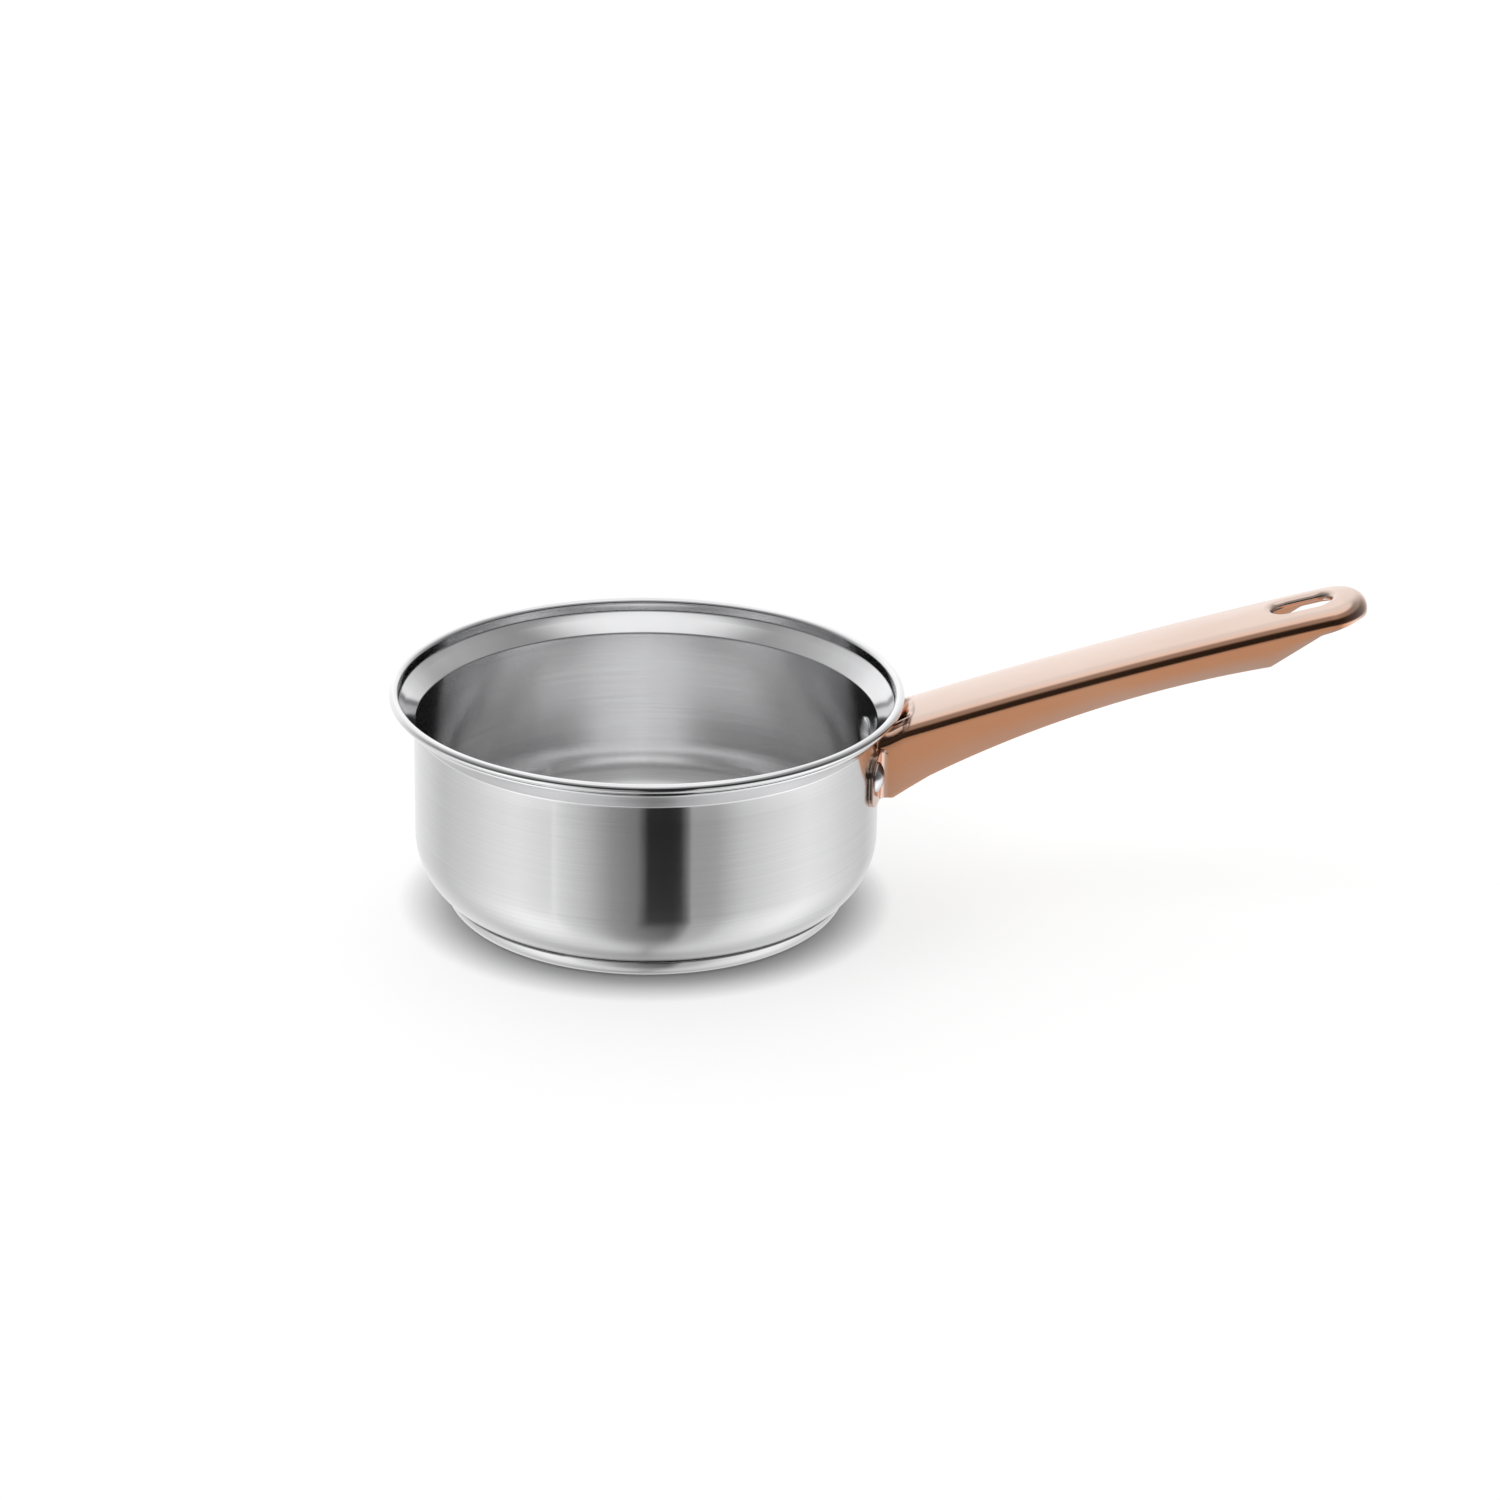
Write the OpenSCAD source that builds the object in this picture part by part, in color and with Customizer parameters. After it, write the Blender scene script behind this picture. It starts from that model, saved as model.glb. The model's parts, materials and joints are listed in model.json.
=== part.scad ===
// Saucepan with a riveted, open-bottomed sheet handle.
// Frame: pan axis on Z, resting plane at z = 0, handle towards +X. Millimetres.

/* [Pan body] */
// Outer diameter of the straight wall
wall_d = 161.1; // [140:0.1:200]
// Sheet thickness of the drawn body
wall_t = 0.9; // [0.6:0.1:1.2]
// Height of the top of the rolled bead
pan_h = 79.35; // [70:0.05:110]
// Outer radius between the wall and the floor
corner_r = 24; // [18:0.5:28]
// Height of the floor's underside
floor_z = 3; // [2.5:0.1:4]

/* [Rim] */
// Radial growth of the conical lid seat
seat_w = 3.85; // [3.5:0.05:4.5]
// Height of the conical lid seat
seat_h = 4; // [3:0.1:4.5]
// Diameter of the rolled bead
bead_d = 3.3; // [3:0.1:4]

/* [Base capsule] */
// Sheet thickness of the cap
cap_t = 0.7; // [0.5:0.1:0.8]
// Height of the cap's open edge
cap_h = 6.9; // [6.5:0.1:7]
// Radius of the cap's lower corner
cap_corner_r = 7; // [7:0.1:7.5]
// Largest radius of the flat underside
foot_r = 63.3; // [62.8:0.1:63.3]

/* [Handle] */
// Width over the two side skirts
grip_w = 28; // [25:0.5:30]
// Sheet thickness
grip_t = 1.5; // [1.2:0.1:1.8]
// Distance from the pan axis to the tip
tip_x = 247.4; // [235:0.1:255]
// Radius of the crown seen from the side
crown_r = 2000; // [1500:50:2500]
// Length of the hanging slot
slot_l = 20; // [17:0.5:21]
// Width of the hanging slot
slot_w = 10.5; // [9:0.5:11]

/* [Ears and rivets] */
// Half angle that the two ears span round the wall
ear_a = 19; // [18:0.5:21]
// Height of the ears' lower edge
ear_z0 = 44.5; // [43:0.5:46]
// Height of the ears' upper edge
ear_z1 = 65; // [63:0.5:66]
// Angle of each rivet from the handle's centre plane
rivet_a = 15; // [14.5:0.1:15.2]
// Diameter of the rivet shanks
rivet_d = 5; // [4:0.1:5]
// Diameter of the rivet heads
head_d = 10.4; // [9:0.1:10.5]

/* [Hidden] */
$fn = 96;

// Rim: height and run from the seat's edge to the bead's centre, height from that edge to the lip's foot
lip_h = 5.5;
bead_run = 3;
lip_foot = 2.4;

// Pan derived sizes
wall_r = wall_d / 2;
bead_r = bead_d / 2;
bead_z = pan_h - bead_r;
seat_z0 = bead_z - lip_h - seat_h;
seat_z1 = seat_z0 + seat_h;
seat_r = wall_r + seat_w;
bead_c = seat_r + bead_run;
lip_r = bead_c - bead_r + wall_t;
corner_c = wall_r - corner_r;
corner_z = floor_z + corner_r;

// Handle derived sizes: the crown's arc runs through these two points
crown_a = [90, 72.9];
crown_b = [240, 116.3];
// The skirts' lower edge: an arc through two points, a slope up to the loop end, then the loop's own edge
edge_a = [84, 44.7];
edge_b = [213.5, 93.4];
edge_r = 400;
edge_drop = 16;
loop_a = [230.5, 105];
loop_b = [250, 111.5];
// The strap that closes the handle's root
lip_x = 88;
lip_z = 62;
// Hanging slot: centre, thickness and depth of its turned-down edge
slot_x = 224.5;
hem_t = 1.2;
hem_h = 3.6;
// Rivets: heights of the outer and inner heads, height above the underside
head_h = 2.5;
inner_head_h = 2;
rivet_z = 54.8;
// Gap between the handle's root and the lid seat
rim_gap = 0.3;
// Longer than any cut has to be
reach = 60;

// Centre of the circle of radius r through p and q that bulges upwards
function arc_centre(p, q, r) =
    let (m = (p + q) / 2, d = q - p, l = norm(d), h = sqrt(r * r - l * l / 4))
    m + h * [d[1], -d[0]] / l;
// Direction of p from c, in degrees
function heading(c, p) = atan2(p[1] - c[1], p[0] - c[0]);
// Height of a circle's upper half at x
function top_at(c, r, x) = c[1] + sqrt(r * r - (x - c[0]) * (x - c[0]));
// Points of an arc from angle a0 to a1
function arc(c, r, a0, a1, n) =
    [for (i = [0:n]) let (a = a0 + (a1 - a0) * i / n) c + r * [cos(a), sin(a)]];

crown_c = arc_centre(crown_a, crown_b, crown_r);
edge_c = arc_centre(edge_a, edge_b, edge_r);
slot_z = top_at(crown_c, crown_r, slot_x);
slot_tilt = 90 - heading(crown_c, [slot_x, slot_z]);

// Outer face of wall, seat and lip, from the floor corner upwards
upper = [[wall_r, corner_z], [wall_r, seat_z0], [seat_r, seat_z1], [lip_r, seat_z1 + lip_foot], [lip_r, pan_h + 1]];
// Inward normal of the line from p to q
function inward(p, q) = let (d = q - p) [-d[1], d[0]] / norm(d);
// Corner i of the upper outline, moved so that both its lines lie t inside
function inset(i, t) =
    let (m = inward(upper[i - 1], upper[i]), n = inward(upper[i], upper[i + 1]))
    upper[i] + t * (m + n) / (1 + m * n);

// Section of everything inside a skin that lies t inside the body's outer face
module body_section(t) {
    polygon(concat(
        [[0, floor_z + t]],
        arc([corner_c, corner_z], corner_r - t, -90, 0, 24),
        [for (i = [1:3]) inset(i, t)],
        [[lip_r - t, pan_h + 1], [0, pan_h + 1]]));
}

// Filled section of the base capsule, t inside its outer face
module cap_section(t) {
    polygon(concat(
        [[0, t]],
        arc([foot_r, cap_corner_r], cap_corner_r - t, -90, -asin((cap_corner_r - cap_h) / cap_corner_r), 16),
        [[0, cap_h]]));
}

// Hole for one rivet on the given side
module rivet_axis(side) {
    rotate([0, 0, side * rivet_a]) translate([0, 0, rivet_z]) rotate([0, 90, 0]) children();
}

module pan_body() {
    color("silver") difference() {
        rotate_extrude($fn = 180) {
            difference() {
                intersection() {
                    body_section(0);
                    square([reach * 2, bead_z]);
                }
                body_section(wall_t);
            }
            translate([bead_c, bead_z]) circle(bead_r, $fn = 48);
        }
        for (side = [-1, 1]) rivet_axis(side) cylinder(d = rivet_d, h = reach * 2);
    }
}

module base_core() {
    color("lightgray") rotate_extrude($fn = 180) difference() {
        cap_section(cap_t);
        body_section(0);
    }
}

module base_cap() {
    color("gainsboro") rotate_extrude($fn = 180) difference() {
        cap_section(0);
        cap_section(cap_t);
        body_section(0);
    }
}

// Outline seen from the side, t below the crown: the outer one ends at the skirts' lower edge
module side_outline(t) {
    r = crown_r - t;
    start = heading(crown_c, [wall_r / 2, top_at(crown_c, r, wall_r / 2)]);
    end = heading(crown_c, [loop_b[0], top_at(crown_c, r, loop_b[0])]);
    lower = t > 0 ? [[loop_b[0], 0], [wall_r / 2, 0]] : concat(
        [loop_b, loop_a],
        arc(edge_c, edge_r, heading(edge_c, edge_b), heading(edge_c, edge_a), 24),
        [[wall_r / 2, edge_a[1] - edge_drop]]);
    rotate([90, 0, 0]) translate([0, 0, -grip_w]) linear_extrude(2 * grip_w)
        polygon(concat(arc(crown_c, r, start, end, 24), lower));
}

// Outline seen from above, t inside the skirts, with a round end
module plan_outline(t) {
    r = grip_w / 2 - t;
    linear_extrude(2 * reach)
        polygon(concat([[wall_r / 2, r], [wall_r / 2, -r]], arc([tip_x - grip_w / 2, 0], r, -90, 90, 24)));
}

// Solid bar with a round end, t inside the handle's outer face
module grip_bar(t) {
    intersection() {
        side_outline(t);
        plan_outline(t);
    }
}

// Bar with round ends, as long as the hanging slot plus a margin all round
module slot_bar(margin, h) {
    r = slot_w / 2 + margin;
    half = (slot_l - slot_w) / 2;
    translate([slot_x, 0, slot_z]) rotate([0, slot_tilt, 0]) translate([0, 0, -h]) {
        for (side = [-1, 1]) translate([side * half, 0, 0]) cylinder(r = r, h = 2 * h, $fn = 64);
        translate([-half, -r, 0]) cube([2 * half, 2 * r, 2 * h]);
    }
}

// Block whose outer face is the plate that lies on the pan wall beside one skirt
module ear(side) {
    y0 = (grip_w - grip_t) / 2;
    y1 = (wall_r + grip_t) * sin(ear_a);
    intersection() {
        translate([0, 0, ear_z0 - 1]) cylinder(r = wall_r + grip_t, h = ear_z1 - ear_z0 + 2, $fn = 180);
        translate([wall_r * 0.6, side > 0 ? y0 : -y1, ear_z0]) cube([wall_r, y1 - y0, ear_z1 - ear_z0]);
    }
}

module handle() {
    half = grip_w / 2 - grip_t;
    color([0.85, 0.56, 0.44]) difference() {
        union() {
            difference() {
                grip_bar(0);
                grip_bar(grip_t);
                translate([0, -half, 0]) cube([lip_x, 2 * half, 2 * reach]);
            }
            intersection() {
                grip_bar(0);
                translate([lip_x, -half - 0.1, lip_z]) cube([grip_t, 2 * half + 0.2, reach]);
            }
            intersection() {
                grip_bar(0);
                slot_bar(hem_t, hem_h);
            }
            ear(-1);
            ear(1);
        }
        slot_bar(0, hem_h * 3);
        cylinder(r = wall_r, h = reach * 2, $fn = 180);
        translate([0, 0, seat_z0]) cylinder(r1 = wall_r, r2 = seat_r + rim_gap, h = seat_h, $fn = 180);
        translate([0, 0, seat_z1]) cylinder(r1 = seat_r + rim_gap, r2 = lip_r + rim_gap, h = lip_foot, $fn = 180);
        for (side = [-1, 1]) rivet_axis(side) cylinder(d = rivet_d, h = reach * 2);
    }
}

// Spherical cap of the head diameter that stands h above z = 0
module dome(h) {
    r = (head_d * head_d / 4 + h * h) / (2 * h);
    intersection() {
        translate([0, 0, h - r]) sphere(r, $fn = 96);
        translate([-head_d, -head_d, 0]) cube([2 * head_d, 2 * head_d, 2 * h]);
    }
}

// Round-headed rivet through one ear and the wall
module rivet(side) {
    outer = wall_r + grip_t;
    inner = sqrt((wall_r - wall_t) * (wall_r - wall_t) - head_d * head_d / 4);
    color("whitesmoke") rivet_axis(side) {
        translate([0, 0, inner]) cylinder(d = rivet_d, h = outer - inner);
        translate([0, 0, outer]) dome(head_h);
        translate([0, 0, inner]) rotate([180, 0, 0]) dome(inner_head_h);
    }
}

module rivet_near() {
    rivet(-1);
}

module rivet_far() {
    rivet(1);
}

pan_body();
base_core();
base_cap();
handle();
rivet_near();
rivet_far();
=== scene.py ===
"""Saucepan with a copper-coloured channel handle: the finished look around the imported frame."""
import json
import math

import bmesh
import bpy
from mathutils import Matrix, Vector

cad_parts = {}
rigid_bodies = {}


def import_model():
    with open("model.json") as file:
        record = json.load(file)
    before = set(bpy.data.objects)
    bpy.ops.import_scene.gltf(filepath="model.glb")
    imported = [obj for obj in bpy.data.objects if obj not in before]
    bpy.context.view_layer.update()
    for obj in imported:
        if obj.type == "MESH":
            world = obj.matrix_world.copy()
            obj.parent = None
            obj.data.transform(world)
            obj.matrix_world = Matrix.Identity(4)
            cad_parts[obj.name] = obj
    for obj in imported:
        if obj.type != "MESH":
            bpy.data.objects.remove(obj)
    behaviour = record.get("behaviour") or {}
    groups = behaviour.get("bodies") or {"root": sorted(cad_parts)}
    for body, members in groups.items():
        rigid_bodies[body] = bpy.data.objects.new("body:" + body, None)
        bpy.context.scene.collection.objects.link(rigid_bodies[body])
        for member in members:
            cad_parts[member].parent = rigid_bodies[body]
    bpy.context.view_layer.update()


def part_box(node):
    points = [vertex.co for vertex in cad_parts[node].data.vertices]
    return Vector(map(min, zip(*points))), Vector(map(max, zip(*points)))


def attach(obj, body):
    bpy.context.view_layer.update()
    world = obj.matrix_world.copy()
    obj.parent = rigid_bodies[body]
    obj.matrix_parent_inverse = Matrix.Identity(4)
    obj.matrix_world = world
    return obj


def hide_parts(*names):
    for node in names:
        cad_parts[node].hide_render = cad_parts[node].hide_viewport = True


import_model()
MM = 0.001

# ---------------------------------------------------------------- sizes, from the frame
BODY_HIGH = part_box("pan_body")[1]
CAP_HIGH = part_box("base_cap")[1]
GRIP_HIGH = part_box("handle")[1]

WALL_R = 80.55 * MM
WALL_T = 0.9 * MM
CORNER_R = 24 * MM
FLOOR_Z = 3 * MM
BEAD_R = 1.65 * MM
BEAD_C = BODY_HIGH[0] - BEAD_R
BEAD_Z = BODY_HIGH[2] - BEAD_R
SEAT_R = WALL_R + 3.85 * MM
SEAT_Z1 = BEAD_Z - 5.5 * MM
SEAT_Z0 = SEAT_Z1 - 4 * MM
LIP_R = BEAD_C - BEAD_R + WALL_T
LIP_FOOT_Z = SEAT_Z1 + 2.4 * MM

CAP_R = 7 * MM
FOOT_R = 63.3 * MM
CAP_T = 0.7 * MM
CAP_H = CAP_HIGH[2]

GRIP_W = 28 * MM
GRIP_T = 1.5 * MM
TIP_X = GRIP_HIGH[0]
CROWN_A = (90 * MM, 72.9 * MM)
CROWN_B = (240 * MM, 116.3 * MM)
CROWN_R = 2000 * MM
EDGE_A = (84 * MM, 44.7 * MM)
EDGE_B = (213.5 * MM, 93.4 * MM)
EDGE_R = 400 * MM
LOOP_A = (230.5 * MM, 105 * MM)
LOOP_B = (250 * MM, 111.5 * MM)
SHOULDER_R = 5.5 * MM
SLOT_X = 224.5 * MM
SLOT_L = 20 * MM
SLOT_W = 10.5 * MM
EAR_ANGLE = math.radians(19)
EAR_LOW_Z = 43.9 * MM
EAR_HIGH_Z = 61.5 * MM

RIVET_ANGLE = math.radians(15)
RIVET_Z = 54.8 * MM
RIVET_D = 5 * MM
HEAD_D = 10.4 * MM
HEAD_H = 2.5 * MM
INNER_HEAD_H = 2 * MM


# ---------------------------------------------------------------- materials
def new_material(name):
    material = bpy.data.materials.new(name)
    material.use_nodes = True
    nodes = material.node_tree.nodes
    return material, nodes, material.node_tree.links, nodes["Principled BSDF"]


def add(nodes, kind, **values):
    node = nodes.new(kind)
    for key, value in values.items():
        setattr(node, key, value)
    return node


def math_node(nodes, links, operation, *inputs):
    node = add(nodes, "ShaderNodeMath", operation=operation)
    for index, item in enumerate(inputs):
        if isinstance(item, (int, float)):
            node.inputs[index].default_value = item
        else:
            links.new(item, node.inputs[index])
    return node.outputs[0]


def lathe_lines(nodes, links, fine, slow):
    """Noise that is long round the Z axis and fine across it, for lathe-brushed metal."""
    place = add(nodes, "ShaderNodeTexCoord").outputs["Object"]
    split = add(nodes, "ShaderNodeSeparateXYZ")
    links.new(place, split.inputs[0])
    x, y, z = split.outputs
    flat = math_node(nodes, links, "SQRT", math_node(
        nodes, links, "ADD", math_node(nodes, links, "MULTIPLY", x, x), math_node(nodes, links, "MULTIPLY", y, y)))
    across = math_node(nodes, links, "MULTIPLY", math_node(nodes, links, "ADD", flat, z), fine)
    join = add(nodes, "ShaderNodeCombineXYZ")
    links.new(math_node(nodes, links, "MULTIPLY", x, slow), join.inputs[0])
    links.new(math_node(nodes, links, "MULTIPLY", y, slow), join.inputs[1])
    links.new(across, join.inputs[2])
    noise = add(nodes, "ShaderNodeTexNoise")
    noise.inputs["Scale"].default_value = 1.0
    noise.inputs["Detail"].default_value = 2.0
    links.new(join.outputs[0], noise.inputs["Vector"])
    return noise.outputs["Fac"]


def ramp(nodes, links, factor, low, high, start=0.3, end=0.7):
    """Colour that runs from low to high as factor goes from start to end."""
    node = add(nodes, "ShaderNodeValToRGB")
    node.color_ramp.elements[0].position = start
    node.color_ramp.elements[1].position = end
    node.color_ramp.elements[0].color = (*low, 1)
    node.color_ramp.elements[1].color = (*high, 1)
    links.new(factor, node.inputs[0])
    return node.outputs[0]


def brushed_steel(name, low, high, roughness, anisotropy, bump, fine=2600):
    """Steel brushed round the pan's axis: streaks of tone, a stretched highlight and fine lines."""
    material, nodes, links, shader = new_material(name)
    lines = lathe_lines(nodes, links, fine, 14)
    links.new(ramp(nodes, links, lines, low, high), shader.inputs["Base Color"])
    shader.inputs["Metallic"].default_value = 1
    rough = add(nodes, "ShaderNodeMapRange")
    rough.inputs["To Min"].default_value = roughness * 0.88
    rough.inputs["To Max"].default_value = roughness * 1.12
    links.new(lines, rough.inputs["Value"])
    links.new(rough.outputs[0], shader.inputs["Roughness"])
    shader.inputs["Anisotropic"].default_value = anisotropy
    shader.inputs["Anisotropic Rotation"].default_value = 0.25
    tangent = add(nodes, "ShaderNodeTangent", direction_type="RADIAL", axis="Z")
    links.new(tangent.outputs[0], shader.inputs["Tangent"])
    relief = add(nodes, "ShaderNodeBump")
    relief.inputs["Strength"].default_value = bump
    relief.inputs["Distance"].default_value = 0.00002
    links.new(lines, relief.inputs["Height"])
    links.new(relief.outputs[0], shader.inputs["Normal"])
    return material


def polished(name, low, high, roughness, scale=60.0, bump=0.05, stretch=(1, 1, 1)):
    """Polished metal with faint cloudy tone and the slight waviness of pressed sheet."""
    material, nodes, links, shader = new_material(name)
    place = add(nodes, "ShaderNodeTexCoord").outputs["Object"]
    mapping = add(nodes, "ShaderNodeMapping")
    mapping.inputs["Scale"].default_value = stretch
    links.new(place, mapping.inputs["Vector"])
    noise = add(nodes, "ShaderNodeTexNoise")
    noise.inputs["Scale"].default_value = scale
    noise.inputs["Detail"].default_value = 3
    links.new(mapping.outputs[0], noise.inputs["Vector"])
    links.new(ramp(nodes, links, noise.outputs["Fac"], low, high), shader.inputs["Base Color"])
    shader.inputs["Metallic"].default_value = 1
    rough = add(nodes, "ShaderNodeMapRange")
    rough.inputs["To Min"].default_value = roughness * 0.8
    rough.inputs["To Max"].default_value = roughness * 1.3
    links.new(noise.outputs["Fac"], rough.inputs["Value"])
    links.new(rough.outputs[0], shader.inputs["Roughness"])
    relief = add(nodes, "ShaderNodeBump")
    relief.inputs["Strength"].default_value = bump
    relief.inputs["Distance"].default_value = 0.0001
    links.new(noise.outputs["Fac"], relief.inputs["Height"])
    links.new(relief.outputs[0], shader.inputs["Normal"])
    return material


STEEL_OUT = brushed_steel("steel_outside", (0.68, 0.68, 0.685), (0.735, 0.735, 0.74), 0.175, 1.0, 0.22)
STEEL_IN = brushed_steel("steel_inside", (0.775, 0.775, 0.78), (0.845, 0.845, 0.85), 0.13, 1.0, 0.12, 2000)
STEEL_BRIGHT = polished("steel_polished", (0.74, 0.74, 0.75), (0.82, 0.82, 0.83), 0.1, 40)
RIVET_STEEL = polished("rivet_steel", (0.78, 0.78, 0.79), (0.86, 0.86, 0.87), 0.24, 300)
COPPER = polished("handle_copper", (0.84, 0.39, 0.21), (0.90, 0.46, 0.27), 0.14, 45, 0.06, (0.35, 1, 1))
ALUMINIUM = brushed_steel("core_aluminium", (0.72, 0.72, 0.73), (0.8, 0.8, 0.81), 0.4, 0.5, 0.3)


def painted_sheen(material, low, high):
    """Paler copper where the mesh's per-vertex value is high: a painted sheen on the crown, tip, ears and lower edges.
    """
    nodes, links = material.node_tree.nodes, material.node_tree.links
    shader = nodes["Principled BSDF"]
    deep = shader.inputs["Base Color"].links[0].from_socket
    noise = next(node for node in nodes if node.bl_idname == "ShaderNodeTexNoise").outputs["Fac"]
    mix = add(nodes, "ShaderNodeMix", data_type="RGBA")
    links.new(add(nodes, "ShaderNodeAttribute", attribute_name="painted_sheen").outputs["Fac"], mix.inputs[0])
    links.new(deep, mix.inputs[6])
    links.new(ramp(nodes, links, noise, low, high), mix.inputs[7])
    links.new(mix.outputs[2], shader.inputs["Base Color"])


# Painted highlight: the copper is blended towards pale pink where the per-vertex value is high
painted_sheen(COPPER, (0.69, 0.54, 0.47), (0.75, 0.60, 0.53))


# ---------------------------------------------------------------- mesh helpers
def finish_mesh(name, verts, faces, materials, indices=None):
    mesh = bpy.data.meshes.new(name)
    mesh.from_pydata([tuple(v) for v in verts], [], faces)
    for material in materials:
        mesh.materials.append(material)
    if indices:
        mesh.polygons.foreach_set("material_index", indices)
    mesh.polygons.foreach_set("use_smooth", [True] * len(mesh.polygons))
    mesh.update()
    piece = bpy.data.objects.new(name, mesh)
    bpy.context.scene.collection.objects.link(piece)
    return piece


def arc(centre, radius, start, end, count):
    """Points of an arc in a plane, angles in degrees."""
    points = []
    for i in range(count + 1):
        a = math.radians(start + (end - start) * i / count)
        points.append((centre[0] + radius * math.cos(a), centre[1] + radius * math.sin(a)))
    return points


def revolve(name, outline, materials, pick, steps=256):
    """Closed solid of revolution: outline is a closed loop of (radius, height), axis points shared."""
    rings = []
    verts = []
    for radius, height in outline:
        if radius < 1e-7:
            rings.append([len(verts)] * steps)
            verts.append((0, 0, height))
            continue
        rings.append(list(range(len(verts), len(verts) + steps)))
        for i in range(steps):
            a = 2 * math.pi * i / steps
            verts.append((radius * math.cos(a), radius * math.sin(a), height))
    faces = []
    indices = []
    for k in range(len(outline)):
        low, high = rings[k], rings[(k + 1) % len(rings)]
        if low[0] == low[1] and high[0] == high[1]:
            continue
        for i in range(steps):
            j = (i + 1) % steps
            face = []
            for v in (low[i], low[j], high[j], high[i]):
                if v not in face:
                    face.append(v)
            faces.append(tuple(face))
            indices.append(pick(k))
    piece = finish_mesh(name, verts, faces, materials, indices)
    return piece


# ---------------------------------------------------------------- pan body
def smooth_corner(before, corner, after, radius, count=5):
    """Round one corner of an outline with an arc of about the given radius."""
    a = Vector(before) - Vector(corner)
    b = Vector(after) - Vector(corner)
    half = a.angle(b) / 2
    reach = min(radius / math.tan(half), a.length * 0.48, b.length * 0.48)
    start = Vector(corner) + a.normalized() * reach
    end = Vector(corner) + b.normalized() * reach
    points = []
    for i in range(count + 1):
        t = i / count
        points.append(tuple((1 - t) ** 2 * start + 2 * t * (1 - t) * Vector(corner) + t ** 2 * end))
    return points


def rounded(points, radii):
    """Outline through the points with each inner corner rounded by its radius; the ends stay."""
    result = [points[0]]
    for before, corner, after, radius in zip(points, points[1:], points[2:], radii):
        if radius:
            result += smooth_corner(before, corner, after, radius)
        else:
            result.append(corner)
    result.append(points[-1])
    return result


def skin(t):
    """Wall, seat and lip of the body, t inside its outer face, from the floor corner upwards."""
    corner = arc((WALL_R - CORNER_R, FLOOR_Z + CORNER_R), CORNER_R - t, -90, 0, 24)
    line = [Vector(p) for p in ((WALL_R, FLOOR_Z + CORNER_R), (WALL_R, SEAT_Z0), (SEAT_R, SEAT_Z1),
                                (LIP_R, LIP_FOOT_Z), (LIP_R, BEAD_Z - 0.3 * MM))]
    normals = [Vector((p.y - q.y, q.x - p.x)).normalized() for p, q in zip(line, line[1:])]
    moved = [line[0] + t * normals[0]]
    for point, m, n in zip(line[1:], normals, normals[1:]):
        moved.append(point + t * (m + n) / (1 + m.dot(n)))
    moved.append(line[-1] + t * normals[-1])
    upper = rounded([tuple(p) for p in moved], [1.2 * MM, 1.5 * MM, 1.5 * MM])
    return corner, upper[1:]


def make_body():
    out_corner, out_upper = skin(0)
    in_corner, in_upper = skin(WALL_T)
    bead = arc((BEAD_C, BEAD_Z), BEAD_R, -150, 180, 28)
    floor_in = [(r * WALL_R, FLOOR_Z + WALL_T) for r in (0.68, 0.5, 0.3, 0.12)]
    floor_out = [(r * WALL_R, FLOOR_Z) for r in (0.12, 0.3, 0.5, 0.68)]
    outer_wall = [(WALL_R, FLOOR_Z + CORNER_R + (SEAT_Z0 - FLOOR_Z - CORNER_R) * i / 6) for i in range(1, 6)]
    outside = [(0, FLOOR_Z)] + floor_out + out_corner + outer_wall + out_upper[:-1]
    inside = in_upper[::-1] + in_corner[::-1] + floor_in + [(0, FLOOR_Z + WALL_T)]
    outline = outside + bead + inside

    def pick(k):
        if outline[k][1] > SEAT_Z0 - 0.9 * MM and outline[(k + 1) % len(outline)][1] > SEAT_Z0 - 0.9 * MM:
            return 1
        return 0 if k < len(outside) else 2

    piece = revolve("pan_shell", outline, [STEEL_OUT, STEEL_BRIGHT, STEEL_IN], pick)
    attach(piece, "root")
    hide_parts("pan_body")
    return piece


# ---------------------------------------------------------------- base cap
def make_cap():
    top = -math.degrees(math.asin((CAP_R - CAP_H) / CAP_R))
    outer = arc((FOOT_R, CAP_R), CAP_R, -90, top, 20)
    inner = arc((FOOT_R, CAP_R), CAP_R - CAP_T, -90, top, 20)
    # a shallow dimple in the middle of the underside, then rings across the flat
    rings = [(0, 0.35 * MM), (6 * MM, 0.35 * MM), (6.6 * MM, 0), (20 * MM, 0), (40 * MM, 0), (55 * MM, 0)]
    inside = [(55 * MM, CAP_T), (30 * MM, CAP_T), (0, CAP_T)]
    outline = rings + outer + inner[::-1] + inside
    piece = revolve("base_capsule", outline, [STEEL_OUT], lambda k: 0)
    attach(piece, "root")
    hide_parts("base_cap")
    return piece


# ---------------------------------------------------------------- handle
def circle_centre(p, q, radius):
    """Centre of the circle of that radius through p and q that bulges upwards."""
    mid = ((p[0] + q[0]) / 2, (p[1] + q[1]) / 2)
    step = (q[0] - p[0], q[1] - p[1])
    length = math.hypot(*step)
    drop = math.sqrt(radius * radius - length * length / 4)
    return (mid[0] + drop * step[1] / length, mid[1] - drop * step[0] / length)


CROWN_C = circle_centre(CROWN_A, CROWN_B, CROWN_R)
EDGE_C = circle_centre(EDGE_A, EDGE_B, EDGE_R)
END_X = TIP_X - GRIP_W / 2
HALF = GRIP_W / 2
CAMBER = 1.0 * MM
HEM_R = 2.6 * MM
HEM_DEPTH = 2.9 * MM
SCOOP_DEPTH = 6 * MM
ROOT_DROP = 1.2 * MM
# How much shallower the far side of the loop end is, and the least skirt left below the shoulder
FAR_CUT = 3.4 * MM
LEAST_SKIRT = 0.8 * MM
BEND_R = 2.5 * MM
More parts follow.
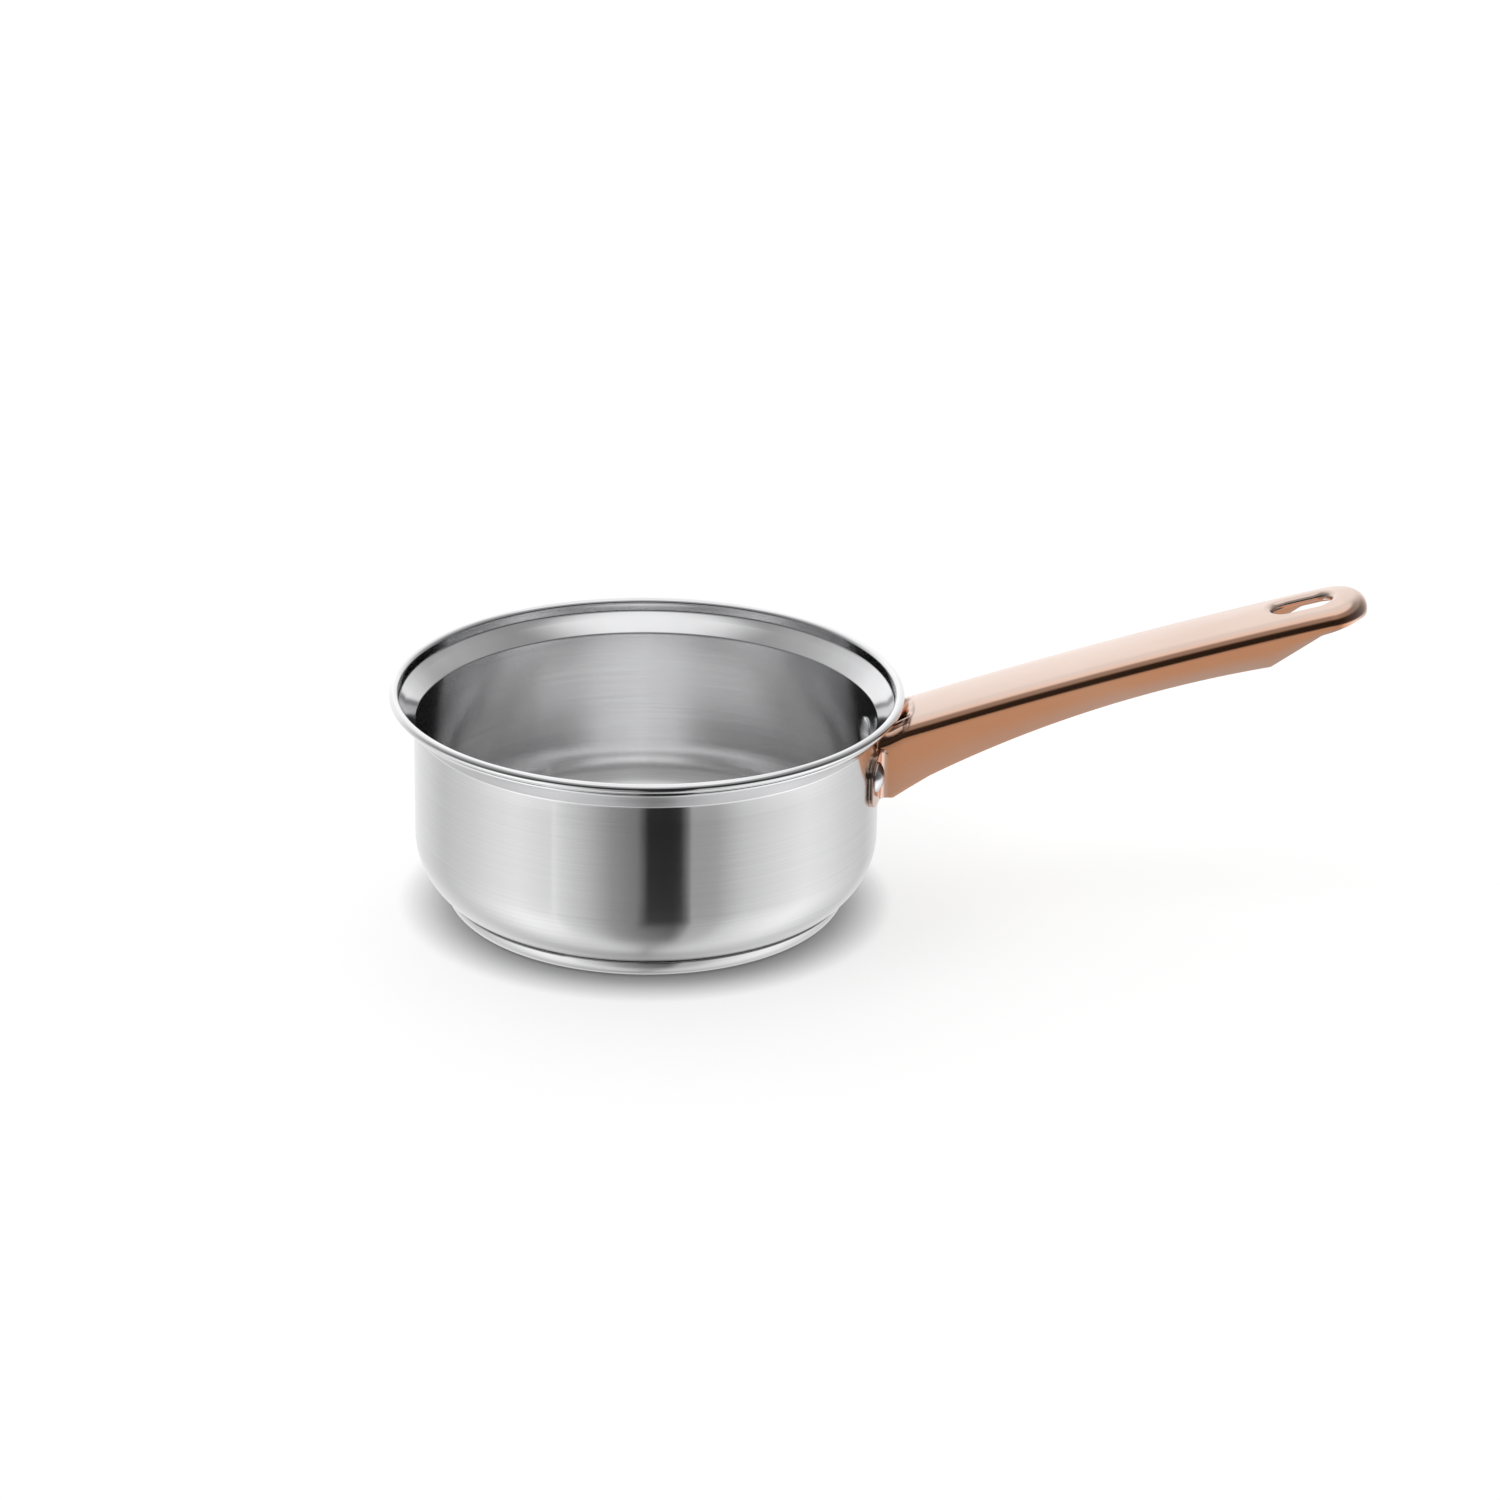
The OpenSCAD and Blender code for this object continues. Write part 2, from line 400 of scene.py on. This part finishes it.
# Gap that keeps the crown's root clear of the wall
ROOT_GAP = 0.25 * MM
# How pale the painted sheen makes the ears and the rounded tip
EAR_SHEEN = 0.85
TIP_SHEEN = 0.85

# The crown's mesh runs evenly from the wall to ROOT_X, on to PATCH_X, then as a patch round the slot
ROOT_X = 98 * MM
PATCH_X = 205 * MM
ROOT_STEPS = 26
GRIP_STEPS = 34
PATCH_STEPS = 36
FILLET_STEPS = 10
SKIRT_ROWS = 12
CROWN_STEPS = 20
END_STEPS = 40
PATCH_RINGS = 12
HEM_STEPS = 8


def smooth(t):
    t = min(1.0, max(0.0, t))
    return t * t * (3 - 2 * t)


def between(start, end, steps):
    """Evenly spaced values from start to end, both included."""
    return [start + (end - start) * i / steps for i in range(steps + 1)]


def crown_z(x):
    return CROWN_C[1] + math.sqrt(CROWN_R ** 2 - (x - CROWN_C[0]) ** 2)


def edge_z(x):
    return EDGE_C[1] + math.sqrt(EDGE_R ** 2 - (x - EDGE_C[0]) ** 2)


# The crown's half width and its slope where the camber meets the shoulder's arc
CROWN_HALF = HALF - 0.8 * SHOULDER_R
KAPPA = math.atan(2 * CAMBER / CROWN_HALF)
CROWN_HALF = HALF - SHOULDER_R * (1 - math.sin(KAPPA))
CROWN_YS = [CROWN_HALF * (2 * i / CROWN_STEPS - 1) for i in range(CROWN_STEPS + 1)]
PATCH_XS = between(PATCH_X, END_X, PATCH_STEPS)


def scoop_share(x, y):
    """From 0 on the crown to 1 at the bottom of the scoop under the pan's rim."""
    return smooth((93 * MM - x - 0.06 * abs(y)) / (7 * MM)) * smooth((9 * MM - abs(y)) / (4 * MM))


def top_z(x, y):
    """Height of the crown, with its camber and the scoop under the pan's rim."""
    across = math.hypot(y, max(0.0, x - END_X))
    root = ROOT_DROP * smooth((90 * MM - x) / (8 * MM))
    return crown_z(x) - CAMBER * (across / CROWN_HALF) ** 2 - SCOOP_DEPTH * scoop_share(x, y) - root


def skirt_low(x, side):
    """Height of the lower edge at x: the long arc, the slope up, then the loop end.

    side runs from -1 on the near skirt to 1 on the far one, whose loop end is cut shallower.
    """
    if x <= EDGE_B[0]:
        return edge_z(x)
    low, high = (EDGE_B, LOOP_A) if x <= LOOP_A[0] else (LOOP_A, LOOP_B)
    far = FAR_CUT * smooth((x - EDGE_B[0]) / (8 * MM)) * smooth(side)
    return low[1] + (high[1] - low[1]) * (x - low[0]) / (high[0] - low[0]) + far


def side_profile(height, low):
    """(outward, up) points from the crown's edge over the shoulder and down the skirt."""
    centre = (CROWN_HALF - SHOULDER_R * math.sin(KAPPA), height - SHOULDER_R * math.cos(KAPPA))
    points = []
    for i in range(1, FILLET_STEPS + 1):
        a = math.radians(90) - KAPPA - (math.radians(90) - KAPPA) * i / FILLET_STEPS
        points.append((centre[0] + SHOULDER_R * math.cos(a), centre[1] + SHOULDER_R * math.sin(a)))
    top = points[-1][1]
    low = min(low, top - LEAST_SKIRT)
    for i in range(1, SKIRT_ROWS + 1):
        points.append((HALF, top + (low - top) * i / SKIRT_ROWS))
    return points


def side_sheen(i, x):
    """Painted sheen: pale towards the crown and again along the skirt's lower edge, more so near the tip."""
    if i < FILLET_STEPS:
        return smooth(1.15 - 1.3 * (i + 1) / FILLET_STEPS)
    low = (i + 1 - FILLET_STEPS) / SKIRT_ROWS
    return (0.3 + 0.35 * smooth((x - 90 * MM) / (120 * MM))) * smooth((low - 0.3) / 0.7)


def wall_x(y):
    """Where the crown's root stops, just clear of the pan's wall."""
    front = WALL_R + ROOT_GAP
    return math.sqrt(front * front - y * y)


def ear_path():
    """Plan points from the skirt's front edge round the bend and along the wall, near side."""
    outer = WALL_R + GRIP_T
    centre_y = HALF + BEND_R
    centre_x = math.sqrt((outer + BEND_R) ** 2 - centre_y ** 2)
    toward = math.atan2(-centre_y, -centre_x)
    points = []
    for i in range(1, 9):
        a = -math.pi / 2 + (toward + math.pi / 2) * i / 8
        points.append((centre_x + BEND_R * math.cos(a), centre_y + BEND_R * math.sin(a)))
    start = math.atan2(points[-1][1], points[-1][0])
    for i in range(1, 15):
        a = start + (EAR_ANGLE - start) * i / 14
        points.append((outer * math.cos(a), outer * math.sin(a)))
    return centre_x, points


class SheetMesh:
    """Vertices shared by place, each with a painted-sheen value, and the faces between rows of them."""

    def __init__(self):
        self.verts = []
        self.sheen_values = []
        self.faces = []
        self.index = {}

    def vertex(self, x, y, z, tone=1.0):
        key = (round(x, 7), round(y, 7), round(z, 7))
        if key not in self.index:
            self.index[key] = len(self.verts)
            self.verts.append((x, y, z))
            # Painted highlight: the rounded tip is made pale whatever the vertex's own value
            self.sheen_values.append(max(tone, TIP_SHEEN * smooth((x - 236 * MM) / (8 * MM))))
        return self.index[key]

    def quad(self, *corners):
        """Face through the corners, with any that coincide taken once."""
        ids = list(dict.fromkeys(corners))
        if len(ids) >= 3:
            self.faces.append(tuple(ids))

    def sheet(self, rows, side=-1):
        """Quads between neighbouring rows of vertex numbers, turned over on the far side."""
        if side > 0:
            rows = [row[::-1] for row in rows]
        for low, high in zip(rows, rows[1:]):
            for i in range(len(low) - 1):
                self.quad(low[i], low[i + 1], high[i + 1], high[i])


def add_crown(mesh):
    """Crown from the wall to the patch round the slot."""
    columns = []
    for y in CROWN_YS:
        xs = between(wall_x(y), ROOT_X, ROOT_STEPS) + between(ROOT_X, PATCH_X, GRIP_STEPS)[1:]
        # Painted sheen over the crown, taken off in the scoop under the rim as painted shade
        columns.append([mesh.vertex(x, y, top_z(x, y), 1 - smooth(2 * scoop_share(x, y))) for x in xs])
    mesh.sheet(columns)


def add_side(mesh, side, bend_x):
    """Shoulder and skirt of one side. The shoulder runs on to the wall, the skirt stops at the bend."""
    rows = []
    for n, x in enumerate(between(wall_x(CROWN_HALF), ROOT_X, ROOT_STEPS)[:-1]):
        profile = side_profile(top_z(x, CROWN_HALF), skirt_low(max(x, bend_x), side))
        share = n / ROOT_STEPS
        row = [mesh.vertex(x, side * CROWN_HALF, top_z(x, CROWN_HALF))]
        for i, (outward, up) in enumerate(profile):
            begin = wall_x(outward) if i < FILLET_STEPS else bend_x
            row.append(mesh.vertex(begin + (ROOT_X - begin) * share, side * outward, up, side_sheen(i, x)))
        rows.append(row)
    for x in between(ROOT_X, PATCH_X, GRIP_STEPS) + PATCH_XS[1:]:
        profile = side_profile(top_z(x, CROWN_HALF), skirt_low(x, side))
        row = [mesh.vertex(x, side * CROWN_HALF, top_z(x, CROWN_HALF))]
        for i, (outward, up) in enumerate(profile):
            row.append(mesh.vertex(x, side * outward, up, side_sheen(i, x)))
        rows.append(row)
    mesh.sheet(rows, side)
    return rows[0][FILLET_STEPS:]


def add_ear(mesh, side, skirt, path):
    """Bend and ear of one side, from the skirt's front edge along the wall to a rounded end."""
    heights = [mesh.verts[v][2] for v in skirt]
    strips = [skirt]
    for n, (x, y) in enumerate(path):
        t = (n + 1) / len(path)
        along = max(0.0, (t - 0.62) / 0.38)
        curve = 1 - math.sqrt(max(0.0, 1 - along * along))
        high = heights[0] + (EAR_HIGH_Z - heights[0]) * smooth(t) - 5.0 * MM * curve
        low = heights[-1] + (EAR_LOW_Z - heights[-1]) * smooth(t) + 4.0 * MM * curve
        # Painted sheen: the ears are made pale
        strips.append([mesh.vertex(x, side * y, high + (low - high) * i / (len(skirt) - 1), EAR_SHEEN)
                       for i in range(len(skirt))])
    mesh.sheet(strips[::-1], side)


def add_round_end(mesh):
    """Shoulder and skirt round the tip. Returns the plan points of the crown's edge there."""
    rim = []
    rows = []
    for i in range(END_STEPS + 1):
        a = -math.pi / 2 + math.pi * i / END_STEPS
        x = END_X + CROWN_HALF * math.cos(a)
        y = CROWN_HALF * math.sin(a)
        height = top_z(x, y)
        tip = END_X + HALF * math.cos(a)
        row = [mesh.vertex(x, y, height)]
        for n, (outward, up) in enumerate(side_profile(height, skirt_low(tip, math.sin(a)))):
            row.append(mesh.vertex(END_X + outward * math.cos(a), outward * math.sin(a), up, side_sheen(n, tip)))
        rim.append((x, y))
        rows.append(row)
    mesh.sheet(rows)
    return rim


def slot_point(x, y, offset):
    """Plan point on the slot's outline, offset outwards, nearest to (x, y)."""
    reach = (SLOT_L - SLOT_W) / 2
    along = min(max(x, SLOT_X - reach), SLOT_X + reach)
    dx, dy = x - along, y
    length = math.hypot(dx, dy)
    size = SLOT_W / 2 + offset
    return along + dx / length * size, dy / length * size


def add_slot_patch(mesh, rim):
    """Crown between its edge and the slot, and the slot's rolled edge."""
    outer = [(x, -CROWN_HALF) for x in PATCH_XS[:-1]] + rim
    outer += [(x, CROWN_HALF) for x in PATCH_XS[-2::-1]]
    outer += [(PATCH_X, y) for y in CROWN_YS[-2:0:-1]]
    tilt = (crown_z(SLOT_X + MM) - crown_z(SLOT_X - MM)) / (2 * MM)
    loops = []
    for k in range(PATCH_RINGS + 1):
        t = k / PATCH_RINGS
        loop = []
        for x, y in outer:
            ix, iy = slot_point(x, y, HEM_R)
            px, py = x + (ix - x) * t, y + (iy - y) * t
            loop.append(mesh.vertex(px, py, top_z(px, py)))
        loops.append(loop)
    # (offset from the slot's outline, drop) down the quarter round and the short straight below it
    hem = []
    for k in range(1, HEM_STEPS + 1):
        a = math.pi / 2 * k / HEM_STEPS
        hem.append((HEM_R * (1 - math.sin(a)), HEM_R * (1 - math.cos(a))))
    hem += [(0, HEM_R + (HEM_DEPTH - HEM_R) * k / 3) for k in range(1, 4)]
    for offset, drop in hem:
        loop = []
        for x, y in outer:
            ix, iy = slot_point(x, y, offset)
            loop.append(mesh.vertex(ix + drop * tilt, iy, top_z(ix, iy) - drop))
        loops.append(loop)
    mesh.sheet([loop + [loop[0]] for loop in loops])


def make_handle():
    mesh = SheetMesh()
    bend_x, path = ear_path()
    add_crown(mesh)
    for side in (-1, 1):
        skirt = add_side(mesh, side, bend_x)
        add_ear(mesh, side, skirt, path)
    add_slot_patch(mesh, add_round_end(mesh))

    piece = finish_mesh("handle_sheet", mesh.verts, mesh.faces, [COPPER])
    piece.data.attributes.new("painted_sheen", "FLOAT", "POINT").data.foreach_set("value", mesh.sheen_values)
    tidy = bmesh.new()
    tidy.from_mesh(piece.data)
    bmesh.ops.remove_doubles(tidy, verts=tidy.verts, dist=0.00001)
    bmesh.ops.recalc_face_normals(tidy, faces=tidy.faces)
    highest = max(tidy.faces, key=lambda f: f.calc_center_median().z)
    if highest.normal.z < 0:
        bmesh.ops.reverse_faces(tidy, faces=tidy.faces)
    tidy.to_mesh(piece.data)
    tidy.free()
    solid = piece.modifiers.new("thickness", "SOLIDIFY")
    solid.thickness = GRIP_T - 0.05 * MM
    solid.offset = -1
    edge = piece.modifiers.new("edges", "BEVEL")
    edge.width = 0.35 * MM
    edge.segments = 3
    edge.limit_method = "ANGLE"
    edge.angle_limit = math.radians(50)
    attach(piece, "root")
    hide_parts("handle")
    return piece


# ---------------------------------------------------------------- rivets
def make_rivet(name, node, side):
    outer = WALL_R + GRIP_T
    inner = math.sqrt((WALL_R - WALL_T) ** 2 - (HEAD_D / 2) ** 2)
    radius = HEAD_D / 2

    def dome(base, height, sign):
        land = 0.35 * MM
        cap = height - land
        r = (radius * radius + cap * cap) / (2 * cap)
        span = math.degrees(math.asin(radius / r))
        points = [(r * math.cos(math.radians(90 - span + span * i / 18)),
                   base + sign * (height - r + r * math.sin(math.radians(90 - span + span * i / 18))))
                  for i in range(19)]
        points[-1] = (0, base + sign * height)
        return [(radius, base)] + points

    head = dome(outer, HEAD_H, 1)
    tail = dome(inner, INNER_HEAD_H, -1)
    outline = tail[::-1] + [(RIVET_D / 2, inner), (RIVET_D / 2, outer)] + head
    piece = revolve(name, outline, [RIVET_STEEL], lambda k: 0, 64)
    turn = Matrix.Rotation(side * RIVET_ANGLE, 4, "Z") @ Matrix.Translation((0, 0, RIVET_Z))
    piece.data.transform(turn @ Matrix.Rotation(math.pi / 2, 4, "Y"))
    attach(piece, "root")
    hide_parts(node)
    return piece


make_body()
make_cap()
make_handle()
make_rivet("rivet_head_near", "rivet_near", -1)
make_rivet("rivet_head_far", "rivet_far", 1)
for item in bpy.data.objects:
    if item.name == "base_core" and item.type == "MESH":
        item.data.materials.clear()
        item.data.materials.append(ALUMINIUM)


# ---------------------------------------------------------------- stage, light and camera
def make_floor():
    size = 30.0
    floor = finish_mesh("floor", [(-size, -size, 0), (size, -size, 0), (size, size, 0), (-size, size, 0)],
                        [(0, 1, 2, 3)], [])
    material, nodes, links, shader = new_material("floor_pale")
    shader.inputs["Base Color"].default_value = (0.45, 0.45, 0.45, 1)
    shader.inputs["Roughness"].default_value = 1
    shader.inputs["Specular IOR Level"].default_value = 0
    # Painted contact shadow: the floor's glow is dimmed by ambient occlusion near the pan; the world and key light also
    # cast real shade on it
    near = add(nodes, "ShaderNodeAmbientOcclusion", samples=8)
    near.inputs["Distance"].default_value = SHADOW_REACH
    shade = ramp(nodes, links, near.outputs["AO"], (0, 0, 0), (1, 1, 1), 0.1, 0.95)
    links.new(shade, shader.inputs["Emission Color"])
    shader.inputs["Emission Strength"].default_value = FLOOR_GLOW
    floor.data.materials.append(material)
    floor.location.z = -0.0002
    floor.visible_glossy = False


def card(name, rows, y, glow):
    """Upright card in front of the pan, seen only in the steel: rows of (height, left, right)."""
    verts = []
    for z, left, right in rows:
        verts += [(left, y, z), (right, y, z)]
    faces = [(2 * i, 2 * i + 1, 2 * i + 3, 2 * i + 2) for i in range(len(rows) - 1)]
    piece = finish_mesh(name, verts, faces, [])
    material, nodes, links, shader = new_material(name)
    shader.inputs["Base Color"].default_value = (0.01, 0.01, 0.01, 1)
    shader.inputs["Roughness"].default_value = 1
    shader.inputs["Specular IOR Level"].default_value = 0
    if glow:
        split = add(nodes, "ShaderNodeSeparateXYZ")
        links.new(add(nodes, "ShaderNodeTexCoord").outputs["Object"], split.inputs[0])
        left, right = rows[0][1:]
        along = math_node(nodes, links, "SUBTRACT", split.outputs[0], left)
        share = math_node(nodes, links, "DIVIDE", along, right - left)
        links.new(stops_ramp(nodes, links, share, glow), shader.inputs["Emission Color"])
        shader.inputs["Emission Strength"].default_value = 1
    piece.data.materials.append(material)
    piece.visible_camera = False
    piece.visible_diffuse = False
    piece.visible_shadow = False


def make_cards():
    """A graded grey card for the dark front of the wall, and a black waisted one inside it."""
    card("grey_card", ((0.03, -0.222, 0.088), (-0.4, -0.222, 0.088)), -0.262,
         ((0, 0.98), (0.29, 0.70), (0.5, 0.38), (0.62, 0.28), (0.9, 0.15), (1, 0.34)))
    card("black_card", ((0.03, -0.016, 0.09), (0.0, -0.012, 0.086), (-0.035, 0.004, 0.066), (-0.065, -0.012, 0.086),
                        (-0.09, -0.02, 0.094)), -0.26, None)


def make_key():
    """Soft key light from the upper left that only shades the scene, kept out of the reflections."""
    data = bpy.data.lights.new("key", "SUN")
    data.energy = 0.4
    data.angle = math.radians(35)
    key = bpy.data.objects.new("key", data)
    key.rotation_euler = Vector((-0.75, -0.35, 1)).to_track_quat("Z", "Y").to_euler()
    key.visible_glossy = False
    bpy.context.scene.collection.objects.link(key)


# Glow of the floor, and how far from the pan the painted contact shadow dims it
FLOOR_GLOW = 0.68
SHADOW_REACH = 0.017
# Brightness of the studio by the angle in degrees from its dark front, in bands from straight down to overhead
NADIR_LIGHT = ((0, 0.45), (50, 0.9), (100, 0.9), (140, 0.5), (180, 0.38))
LOW_LIGHT = ((0, 0.6), (18, 0.55), (26, 0.58), (40, 0.93), (55, 1.12), (77, 1.31), (92, 1.18), (107, 0.98), (130, 0.75),
             (180, 1.05))
MID_LIGHT = ((0, 0.02), (30, 0.04), (68, 0.1), (100, 0.22), (120, 0.42), (145, 1.0), (180, 1.2))
UPPER_LIGHT = ((0, 0.42), (20, 0.36), (50, 0.34), (80, 0.34), (110, 0.48), (145, 0.98), (180, 1.2))
TOP_LIGHT = ((0, 1.05), (180, 1.05))
STUDIO_TURN = math.radians(9.5)


def stops_ramp(nodes, links, factor, stops):
    """Grey ramp through (position, brightness) stops."""
    node = add(nodes, "ShaderNodeValToRGB")
    elements = node.color_ramp.elements
    while len(elements) < len(stops):
        elements.new(0.5)
    for element, (position, value) in zip(elements, stops):
        element.position = position
        element.color = (value, value, value, 1)
    links.new(factor, node.inputs[0])
    return node.outputs[0]


def light_ramp(nodes, links, factor, stops):
    return stops_ramp(nodes, links, factor, [(angle / 180, value) for angle, value in stops])


def make_studio():
    """Soft studio all round: bright sides and top, a darker front behind the camera."""
    world = bpy.data.worlds.new("studio")
    bpy.context.scene.world = world
    world.use_nodes = True
    nodes, links = world.node_tree.nodes, world.node_tree.links
    split = add(nodes, "ShaderNodeSeparateXYZ")
    links.new(add(nodes, "ShaderNodeTexCoord").outputs["Generated"], split.inputs[0])
    x, y, z = split.outputs
    front = math_node(nodes, links, "MULTIPLY", y, -1.0)
    turn = math_node(nodes, links, "SUBTRACT", math_node(nodes, links, "ARCTAN2", x, front), STUDIO_TURN)
    wrapped = math_node(nodes, links, "ABSOLUTE", turn)
    share = math_node(nodes, links, "DIVIDE", wrapped, math.pi)
    height = math_node(nodes, links, "ARCSINE", z)

    def step(low, high):
        node = add(nodes, "ShaderNodeMapRange", interpolation_type="SMOOTHSTEP")
        node.inputs["From Min"].default_value = math.radians(low)
        node.inputs["From Max"].default_value = math.radians(high)
        links.new(height, node.inputs["Value"])
        return node.outputs[0]

    def blend(factor, a, b):
        node = add(nodes, "ShaderNodeMix", data_type="RGBA")
        links.new(factor, node.inputs[0])
        links.new(a, node.inputs[6])
        links.new(b, node.inputs[7])
        return node.outputs[2]

    low = light_ramp(nodes, links, share, LOW_LIGHT)
    mid = light_ramp(nodes, links, share, MID_LIGHT)
    nadir = light_ramp(nodes, links, share, NADIR_LIGHT)
    upper = light_ramp(nodes, links, share, UPPER_LIGHT)
    top = light_ramp(nodes, links, share, TOP_LIGHT)
    colour = blend(step(-75, -45), nadir, low)
    for factor, band in ((step(-20, -13), mid), (step(20, 34), upper), (step(50, 64), top)):
        colour = blend(factor, colour, band)
    links.new(colour, nodes["Background"].inputs["Color"])
    nodes["Background"].inputs["Strength"].default_value = 1.0


def make_camera():
    """Long lens, a little above the pan, aimed right of and above its foot."""
    distance = 1.7
    rise, pan, tilt, roll = (math.radians(a) for a in (24.119, 1.226, 1.740, 0.290))
    ahead = Vector((0, math.cos(rise), -math.sin(rise)))
    right = Vector((1, 0, 0))
    up = right.cross(ahead)
    place = -distance * ahead
    aim = math.cos(pan) * ahead + math.sin(pan) * right
    right = math.cos(pan) * right - math.sin(pan) * ahead
    aim, up = math.cos(tilt) * aim + math.sin(tilt) * up, math.cos(tilt) * up - math.sin(tilt) * aim
    right, up = math.cos(roll) * right + math.sin(roll) * up, math.cos(roll) * up - math.sin(roll) * right
    data = bpy.data.cameras.new("camera")
    data.sensor_width = 36
    data.lens = 115.97
    data.clip_end = 100
    camera = bpy.data.objects.new("camera", data)
    camera.matrix_world = Matrix((
        (right.x, up.x, -aim.x, place.x), (right.y, up.y, -aim.y, place.y),
        (right.z, up.z, -aim.z, place.z), (0, 0, 0, 1)))
    bpy.context.scene.collection.objects.link(camera)
    bpy.context.scene.camera = camera


make_floor()
make_cards()
make_key()
make_studio()
make_camera()
bpy.context.scene.view_settings.view_transform = "Standard"
